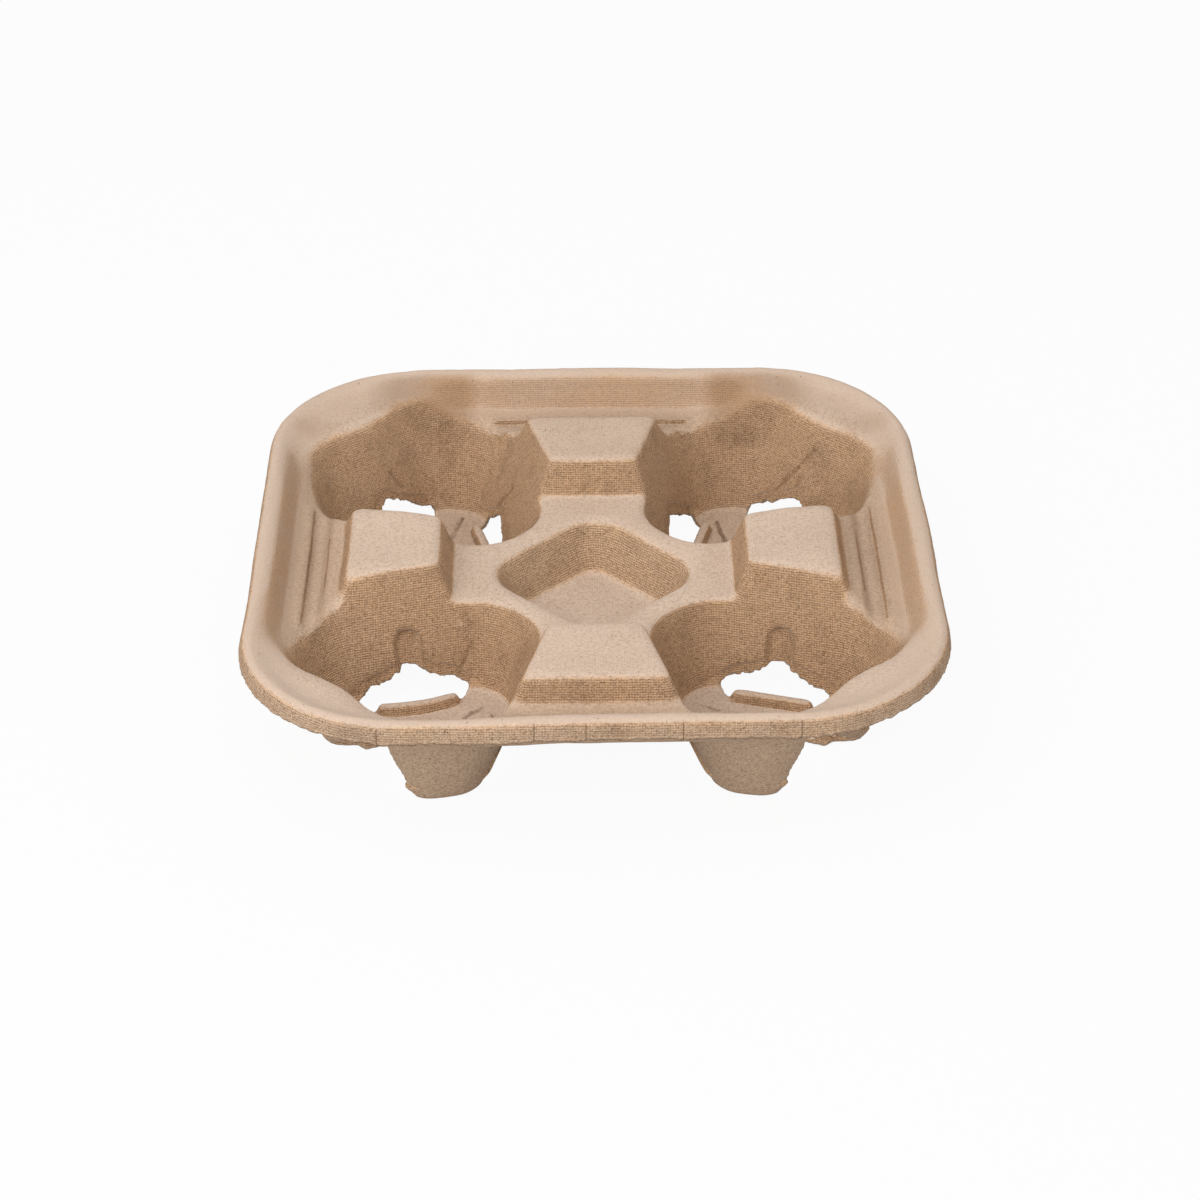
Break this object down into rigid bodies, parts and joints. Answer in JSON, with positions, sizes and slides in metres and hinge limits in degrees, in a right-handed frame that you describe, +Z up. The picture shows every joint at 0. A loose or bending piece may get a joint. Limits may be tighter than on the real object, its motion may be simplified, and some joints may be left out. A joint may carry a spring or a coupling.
{
  "type": "cup carrier tray",
  "caption": "Square moulded pulp cup carrier with flared pockets on a low rim, raised posts between them, a sunken centre pit and gable windows at the foot of each pocket wall.",
  "frame": {"origin": "centre of the tray's square outline, on the surface it stands on", "axes": "+Z up through the pocket mouths, +X and +Y square on the tray's sides, the side nearest the camera in the picture facing -Y"},
  "size_m": [0.21, 0.21, 0.045],
  "materials": {
    "pulp": "matte fibrous moulded pulp"
  },
  "bodies": {
    "root": {"cup_carrier": "pulp"}
  },
  "joints": []
}
